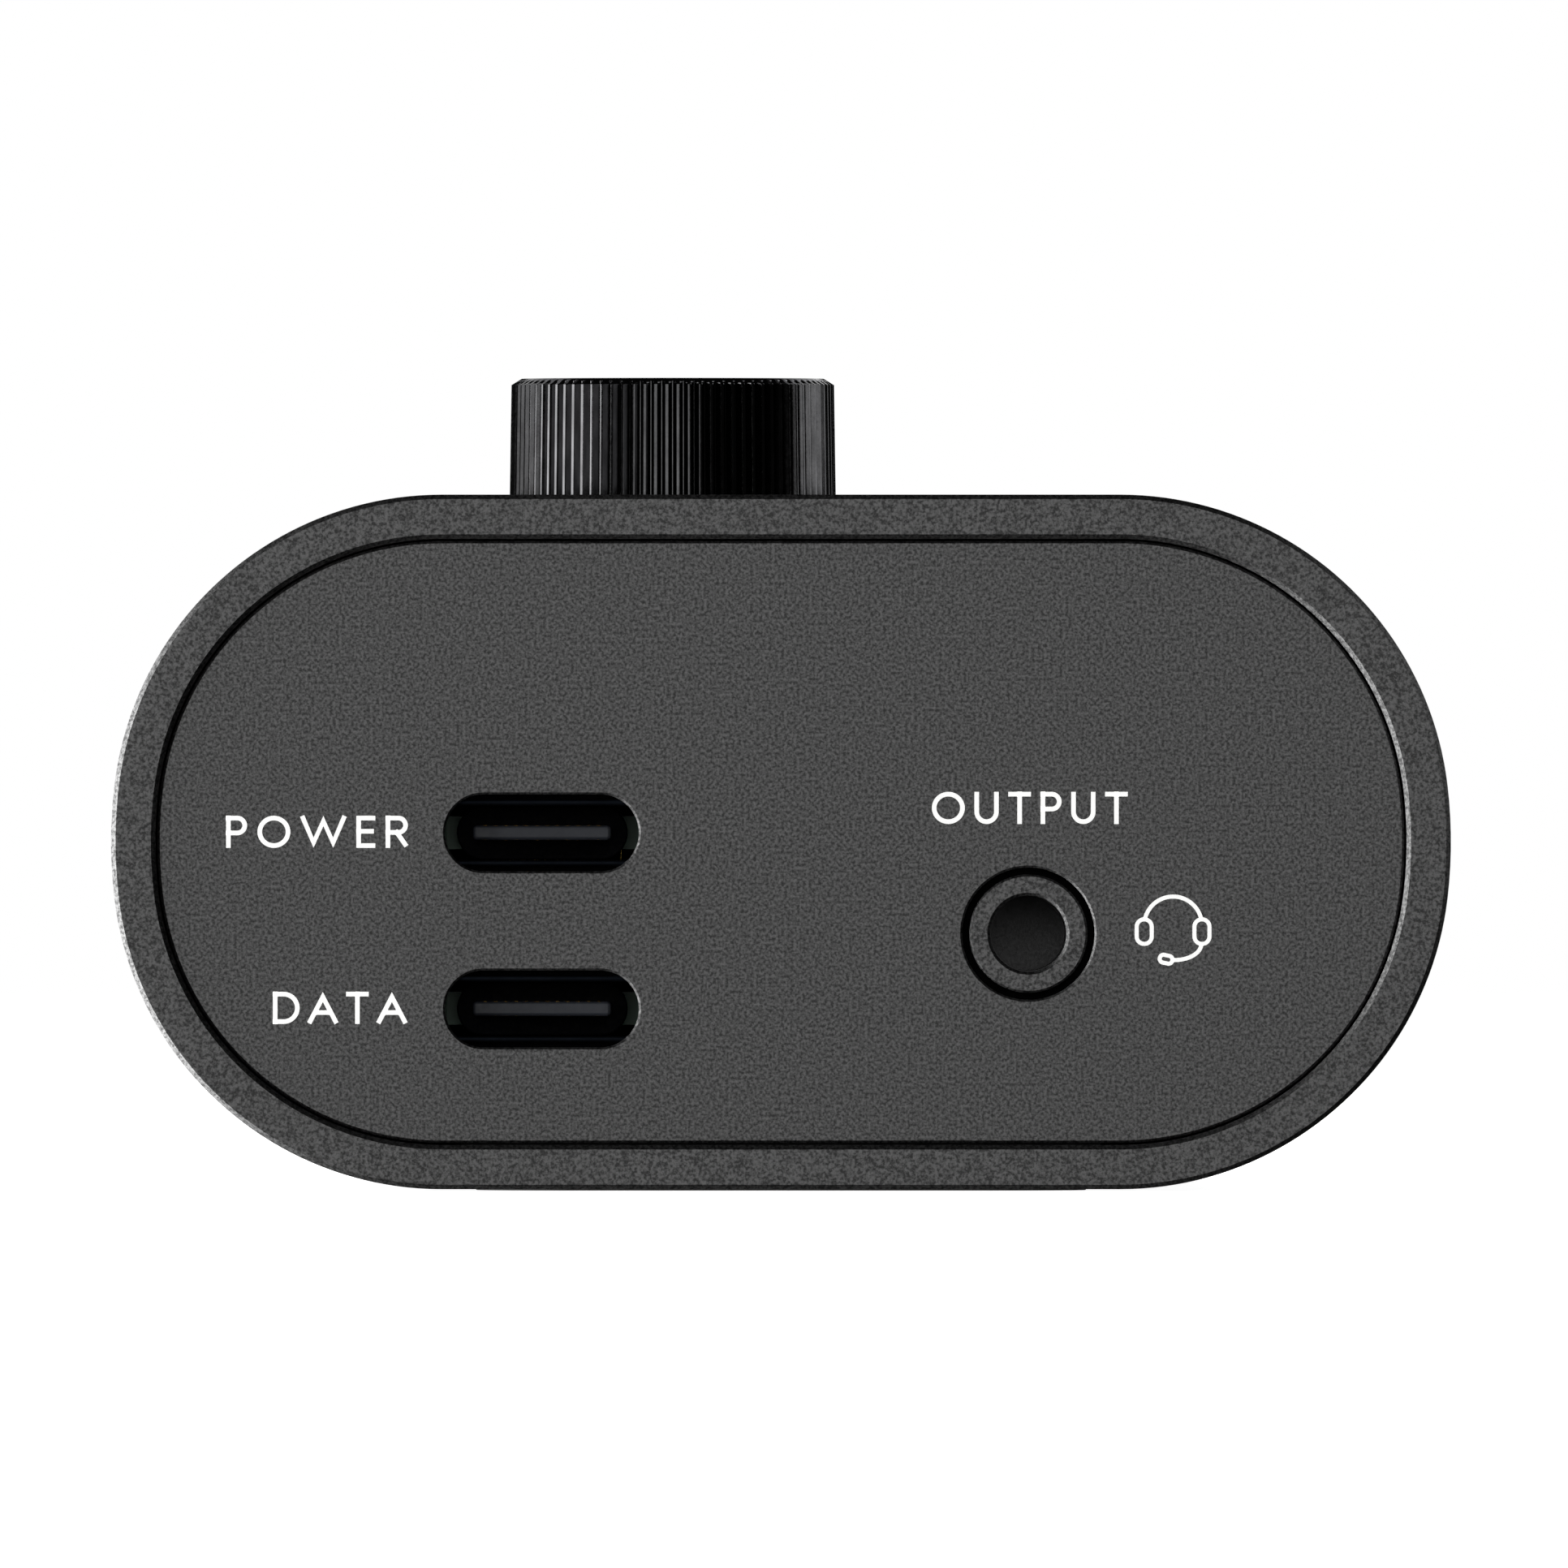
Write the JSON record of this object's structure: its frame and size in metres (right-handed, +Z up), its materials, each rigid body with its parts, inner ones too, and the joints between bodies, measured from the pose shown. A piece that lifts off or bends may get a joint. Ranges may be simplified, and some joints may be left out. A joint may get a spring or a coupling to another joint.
{
  "type": "audio interface",
  "caption": "Compact pill-section metal audio interface with recessed end plates, two reversible ports, a small output jack, an input jack and a push-and-turn knurled knob",
  "frame": {"origin": "on the resting surface, under the centre of the bounding box", "axes": "+Z up, +Y along the tube towards the input end, so the end with the two ports and the output jack faces -Y; +X across, to the right when looking at the port end"},
  "size_m": [0.065, 0.092, 0.0396],
  "materials": {
    "shell_finish": "bead-blasted, dark grey anodised",
    "knob_black": "satin black",
    "pad_rubber": "matt black rubber",
    "screw_steel": "blackened steel",
    "spacer_brass": "bright turned brass",
    "port_steel": "drawn stainless sheet",
    "tongue_moulding": "blue-black moulding",
    "contact_gold": "gold-plated",
    "black_moulding": "black moulding",
    "board_laminate": "green solder mask on glass laminate",
    "chip_resin": "moulded chip resin",
    "can_metal": "bare metal cans",
    "part_ceramic": "fired ceramic",
    "pale_moulding": "natural acetal",
    "label_ink": "white pad-printed ink",
    "light_pipe_clear": "clear acrylic"
  },
  "bodies": {
    "enclosure": {"housing_shell": "shell_finish", "connector_end_plate": "shell_finish", "input_end_plate": "shell_finish", "output_jack_collar": "shell_finish", "input_jack_collar": "shell_finish", "base_pad": "pad_rubber", "base_screws": "screw_steel", "control_board_screws": "screw_steel", "main_board_screws": "screw_steel", "board_standoffs": "spacer_brass", "data_port_shell": "port_steel", "power_port_shell": "port_steel", "encoder_cover": "port_steel", "switch_dome": "port_steel", "data_port_tongue": "tongue_moulding", "power_port_tongue": "tongue_moulding", "data_port_contacts": "contact_gold", "power_port_contacts": "contact_gold", "output_jack_contacts": "contact_gold", "input_jack_contacts": "contact_gold", "board_link_pins": "contact_gold", "encoder_pins": "contact_gold", "output_jack_body": "black_moulding", "input_jack_body": "black_moulding", "encoder_body": "black_moulding", "board_socket": "black_moulding", "board_plug": "black_moulding", "light_pipe_holder": "black_moulding", "inner_carrier": "black_moulding", "main_board": "board_laminate", "control_board": "board_laminate", "processor_chip": "chip_resin", "converter_chip": "chip_resin", "preamp_chip": "chip_resin", "headphone_amp_chip": "chip_resin", "board_capacitors": "can_metal", "clock_crystal": "can_metal", "small_passives": "part_ceramic", "indicator_light_pipes": "light_pipe_clear", "indicator_leds": "light_pipe_clear"},
    "rotor": {"encoder_rotor": "pale_moulding"},
    "knob": {"encoder_shaft": "can_metal", "volume_knob": "knob_black"},
    "plunger": {"switch_plunger": "pale_moulding"}
  },
  "joints": [
    {"name": "knob_turn", "type": "hinge", "parent": "enclosure", "child": "rotor", "pos_m": [-0.0053, -0.016, 0.0213], "axis": [0, 0, 1], "continuous": true},
    {"name": "knob_press", "type": "slide", "parent": "rotor", "child": "knob", "axis": [0, 0, -1], "range_m": [0, 0.0005], "stiffness_N_per_m": 1000, "springref_m": -0.0001},
    {"name": "plunger_press", "type": "slide", "parent": "enclosure", "child": "plunger", "axis": [0, 0, -1], "range_m": [0, 0.0005]}
  ],
  "couplings": [
    {"joint": "plunger_press", "follows": "knob_press", "ratio": 1}
  ]
}
